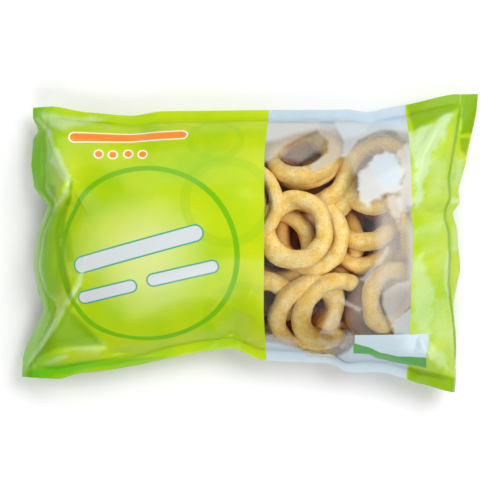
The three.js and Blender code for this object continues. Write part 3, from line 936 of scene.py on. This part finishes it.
# The same film without ink. It is nearly clear where it lies on the rings, and its creases and frost
# veil what is behind them in pale blue. Painted glare whitens it in places.
clearLook = {
    # white of frost, and of painted glare on the rings
    "white": "#D2CBBD",
    "cold": "#B8CDDC",     # where two layers lie together, over the lips
    "crinkle": (1.0, 0.1),  # mm across the grain of the frost, and how strong it is
    "hazeRoughness": 0.4,
    "roughness": 0.2,
    "ior": 1.25,           # less than the plastic's own, as film on crumb shines less
}


def makeClear():
    material, tree = newMaterial("clearPolyethylene")
    hazeAndGlare, cold = (addNode(tree, "Attribute", attribute_name=name).outputs["Fac"]
                  for name in ("hazeAndGlare", "cold"))
    hazeAndGlare = crinkled(tree, hazeAndGlare, *clearLook["crinkle"])
    colour = layColour(tree, linear(clearLook["white"]), linear(clearLook["cold"]), cold)
    veil = addNode(tree, "BsdfPrincipled", {
        "Base Color": colour, "Roughness": clearLook["hazeRoughness"], "IOR": clearLook["ior"]})
    through = addNode(tree, "BsdfTransparent")
    hazed = addNode(tree, "MixShader", {0: hazeAndGlare, 1: through.outputs[0], 2: veil.outputs[0]})
    shine = addNode(tree, "BsdfGlossy", {"Roughness": clearLook["roughness"]})
    gloss = addNode(tree, "Fresnel", {"IOR": clearLook["ior"]})
    skin = addNode(tree, "MixShader", {
        0: gloss.outputs[0], 1: hazed.outputs[0], 2: shine.outputs[0]})
    addNode(tree, "OutputMaterial", {"Surface": skin.outputs[0]})
    return material


# Two bare printed bands in the lower right corner, opaque green ink and a thin pale one. Each has its
# ends and the places of its upper and lower edge, as they are seen from above.
bandSeam = [(86, -83), (97, -85.5), (110, -90.5), (124, -93.5), (147, -93.6)]  # where the two meet
label = {
    "pale": {"ends": (87, 147), "colour": "#BDCFD9",
             "upper": [(87, -76), (100, -76), (133, -75.5), (147, -74.5)],
             "lower": [(87, -83), *bandSeam[1:]]},
    "strip": {"ends": (86, 146.5), "colour": "#3F9A37", "upper": bandSeam,
              "lower": [(86, -90.3), (97, -91), (108, -95), (120, -98), (133, -100.5), (147, -101.5)]},
    "lift": 0.25,          # clear of the film under it
    "mesh": (50, 14),      # points along and across
    "mottle": 0.12,        # how far the ink is paler in patches
    "roughness": 0.22,
}


def makeInk(name, colour):
    material, tree = newMaterial(name)
    mottle = addNode(tree, "TexNoise", {"Scale": 60.0, "Detail": 2.0}).outputs["Fac"]
    ink = layColour(tree, linear(colour), linear("#FFFFFF"), spread(tree, mottle, 0, 1, label["mottle"]))
    shader = addNode(tree, "BsdfPrincipled", {
        "Base Color": ink, "Roughness": label["roughness"], "IOR": 1.51})
    addNode(tree, "OutputMaterial", {"Surface": shader.outputs[0]})
    return material


def makeBand(name, band):
    columns, rows = label["mesh"]
    x, across = np.meshgrid(np.linspace(*band["ends"], columns), np.linspace(0, 1, rows))
    y = mix(along(band["lower"], x), along(band["upper"], x), across)
    for _ in range(3):  # from where it is seen to where it lies
        height = filmHeight(x, y)
        closer = 1 - (height - bag["sealHeight"]) / cameraHeight
        placeX, placeY = x * closer, y * closer
    front = creasedFilm(*sharesAt(placeX, placeY))[0]
    points = front + label["lift"] * normalsOf(front)
    return makePiece(name, points.reshape(-1, 3), gridFaces(*x.shape), makeInk(name + "Ink", band["colour"]))


printed, clear, crumb = makePrint(), makeClear(), makeCrumb()
lastColumn = sGrid.shape[1] - 1
leftEdge, rightEdge = windowColumns
for side, grid, flip in (("front", frontGrid, False), ("back", backGrid, True)):
    filmPiece(side + "PrintLeft", grid, 0, leftEdge, printed, flip)
    filmPiece(side + "Window", grid, leftEdge, rightEdge, clear, flip)
    filmPiece(side + "PrintRight", grid, rightEdge, lastColumn, printed, flip)
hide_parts("bag")
makeBand("labelPale", label["pale"])
makeBand("labelStrip", label["strip"])
upper = makeTopRings()
lower = makeLowerRings()
nodes = np.concatenate([ring.mean(1)[::ring.shape[0] // ringShadeRule["nodes"]] for ring, _ in upper + lower])
joinRings("topRings", upper, nodes, crumb)
joinRings("lowerRings", lower, nodes, crumb)


# Pale floor, soft studio light and the camera straight above, as in the photograph

studio = {
    "floor": "#F4F4F4",
    "lens": 130.4,
    "target": (0.4, -5.8),
    "worldStrength": 0.12,
    # place, size and power
    "lights": {"key": ((0.8, 0.5, 1.2), 1.0, 19), "front": ((0.1, -1.0, 1.2), 1.0, 11),
               "left": ((-1.2, 0.0, 1.0), 0.9, 6), "back": ((-0.2, 1.2, 1.0), 0.9, 5)},
}


def makeFloor():
    mesh = bpy.data.meshes.new("floor")
    mesh.from_pydata([(-4, -4, 0), (4, -4, 0), (4, 4, 0), (-4, 4, 0)], [], [(0, 1, 2, 3)])
    floor = bpy.data.objects.new("floor", mesh)
    bpy.context.scene.collection.objects.link(floor)
    material, tree = newMaterial("paintedFloor")
    shader = addNode(tree, "BsdfPrincipled", {
        "Base Color": linear(studio["floor"]), "Roughness": 0.9})
    addNode(tree, "OutputMaterial", {"Surface": shader.outputs[0]})
    mesh.materials.append(material)


def makeLight(name, place, size, power):
    data = bpy.data.lights.new(name, "AREA")
    data.size = size
    data.energy = power
    light = bpy.data.objects.new(name, data)
    light.location = place
    light.rotation_euler = (-Vector(place)).to_track_quat("-Z", "Y").to_euler()
    bpy.context.scene.collection.objects.link(light)


def makeStudio():
    world = bpy.data.worlds.new("studio")
    world.use_nodes = True
    world.node_tree.nodes["Background"].inputs["Color"].default_value = (1, 1, 1, 1)
    world.node_tree.nodes["Background"].inputs["Strength"].default_value = studio["worldStrength"]
    bpy.context.scene.world = world
    for name, (place, size, power) in studio["lights"].items():
        makeLight(name, place, size, power)
    camera = bpy.data.objects.new("camera", bpy.data.cameras.new("camera"))
    camera.data.lens = studio["lens"]
    camera.location = Vector((*studio["target"], cameraHeight + bag["sealHeight"])) * mm
    bpy.context.scene.collection.objects.link(camera)
    bpy.context.scene.camera = camera
    bpy.context.scene.view_settings.view_transform = "Standard"


makeFloor()
makeStudio()
print("studio")
